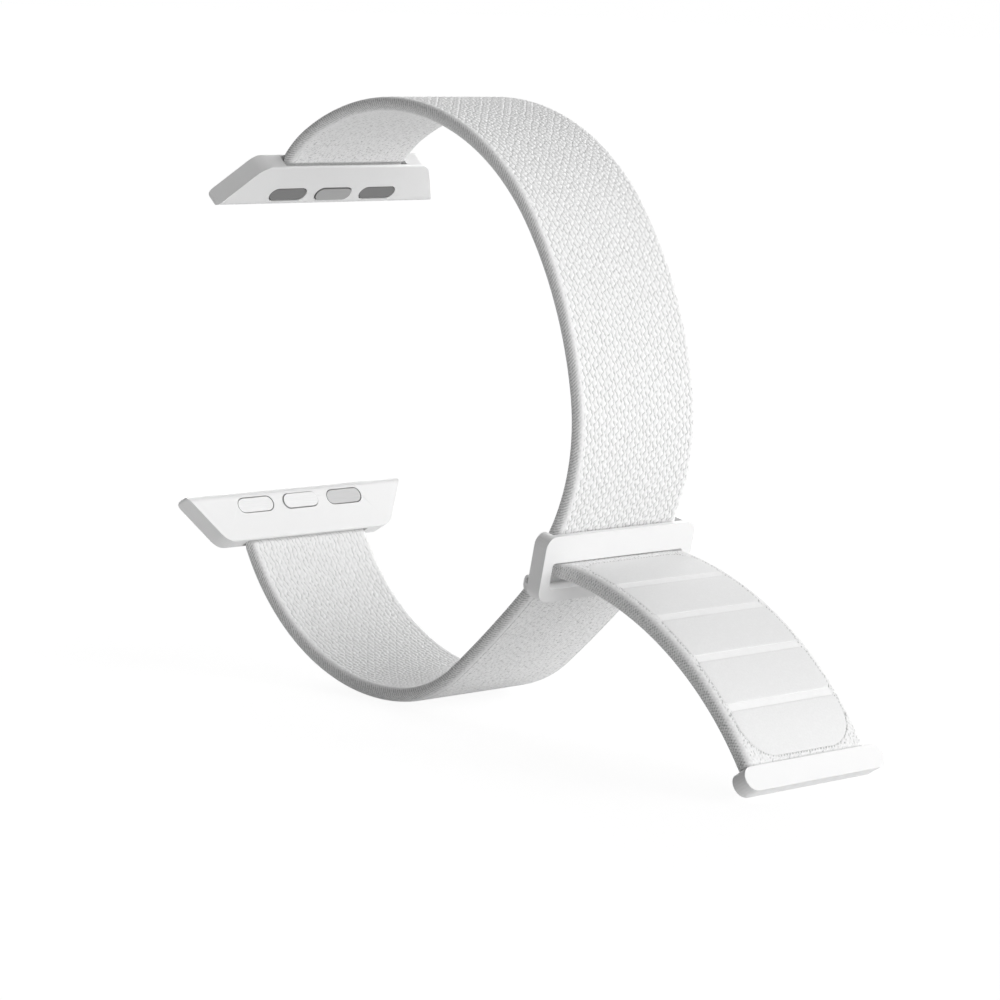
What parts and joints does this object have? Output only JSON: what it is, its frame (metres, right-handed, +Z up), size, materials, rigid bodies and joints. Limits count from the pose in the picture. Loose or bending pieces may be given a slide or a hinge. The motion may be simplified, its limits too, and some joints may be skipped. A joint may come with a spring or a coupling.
{
  "type": "nylon watch strap",
  "caption": "Woven nylon watch strap closed in a ring: slotted buckle, fold-back tail with hook patches, and a swivelling snap-in lug with a spring catch at each end.",
  "frame": {"origin": "centre of the strap's bounding box in X and Y, at the level that the lower band and the end cap rest on", "axes": "+Y across the strap's width, +Z up, +X the way the tail points, with the gap for the watch on the -X side"},
  "size_m": [0.0996, 0.0378, 0.0782],
  "materials": {
    "nylon_weave": "white ribbed weave, dull",
    "hook_strip": "flat pale grey hook tape, slightly satin",
    "moulded_plastic": "white, smooth matte",
    "satin_pad": "satin grey metal",
    "bright_steel": "bright drawn wire"
  },
  "bodies": {
    "strap": {"upper_band": "nylon_weave", "buckle_frame": "moulded_plastic", "buckle_pin": "bright_steel"},
    "lower_band_body": {"lower_band": "nylon_weave"},
    "upper_lug_body_group": {"upper_lug_body": "moulded_plastic", "upper_lug_near_pad": "satin_pad", "upper_lug_far_pad": "satin_pad", "upper_lug_pin": "bright_steel", "upper_catch_spring": "bright_steel"},
    "upper_catch_body": {"upper_catch": "satin_pad"},
    "lower_lug_body_group": {"lower_lug_body": "moulded_plastic", "lower_lug_near_pad": "satin_pad", "lower_lug_far_pad": "satin_pad", "lower_lug_pin": "bright_steel", "lower_catch_spring": "bright_steel"},
    "lower_catch_body": {"lower_catch": "satin_pad"},
    "tail_stretch_1": {"tail_1": "nylon_weave", "hook_patch_1": "hook_strip"},
    "tail_stretch_2": {"tail_2": "nylon_weave", "hook_patch_2": "hook_strip"},
    "tail_stretch_3": {"tail_3": "nylon_weave", "hook_patch_3": "hook_strip"},
    "tail_stretch_4": {"tail_4": "nylon_weave", "hook_patch_4": "hook_strip"},
    "tail_stretch_5": {"tail_5": "nylon_weave", "hook_patch_5": "hook_strip", "end_cap": "moulded_plastic"}
  },
  "joints": [
    {"name": "lower_band_swing", "type": "hinge", "parent": "strap", "child": "lower_band_body", "pos_m": [0.01066, 0, 0.02024], "axis": [0, 1, 0], "range_deg": [-12, 12]},
    {"name": "upper_lug_swivel", "type": "hinge", "parent": "strap", "child": "upper_lug_body_group", "pos_m": [-0.04121, 0, 0.0671], "axis": [0, 1, 0], "range_deg": [-8, 8]},
    {"name": "lower_lug_swivel", "type": "hinge", "parent": "lower_band_body", "child": "lower_lug_body_group", "pos_m": [-0.04651, 0, 0.01853], "axis": [0, 1, 0], "range_deg": [-8, 8]},
    {"name": "upper_catch_press", "type": "slide", "parent": "upper_lug_body_group", "child": "upper_catch_body", "axis": [-0.7709, 0, 0.637], "range_m": [0, 0.00035], "stiffness_N_per_m": 1500, "springref_m": -0.0002, "deforming": ["upper_catch_spring"]},
    {"name": "lower_catch_press", "type": "slide", "parent": "lower_lug_body_group", "child": "lower_catch_body", "axis": [-0.8666, 0, -0.499], "range_m": [0, 0.00035], "stiffness_N_per_m": 1500, "springref_m": -0.0002, "deforming": ["lower_catch_spring"]},
    {"name": "tail_fold", "type": "hinge", "parent": "strap", "child": "tail_stretch_1", "pos_m": [0.01544, 0, 0.02266], "axis": [0, -1, 0], "range_deg": [0, 87]},
    {"name": "tail_bend_1", "type": "hinge", "parent": "tail_stretch_1", "child": "tail_stretch_2", "pos_m": [0.0237, 0, 0.02099], "axis": [0, -1, 0], "range_deg": [0, 15]},
    {"name": "tail_bend_2", "type": "hinge", "parent": "tail_stretch_2", "child": "tail_stretch_3", "pos_m": [0.03059, 0, 0.01821], "axis": [0, -1, 0], "range_deg": [0, 22]},
    {"name": "tail_bend_3", "type": "hinge", "parent": "tail_stretch_3", "child": "tail_stretch_4", "pos_m": [0.03692, 0, 0.01432], "axis": [0, -1, 0], "range_deg": [0, 18]},
    {"name": "tail_bend_4", "type": "hinge", "parent": "tail_stretch_4", "child": "tail_stretch_5", "pos_m": [0.04251, 0, 0.00943], "axis": [0, -1, 0], "range_deg": [0, 17]}
  ]
}
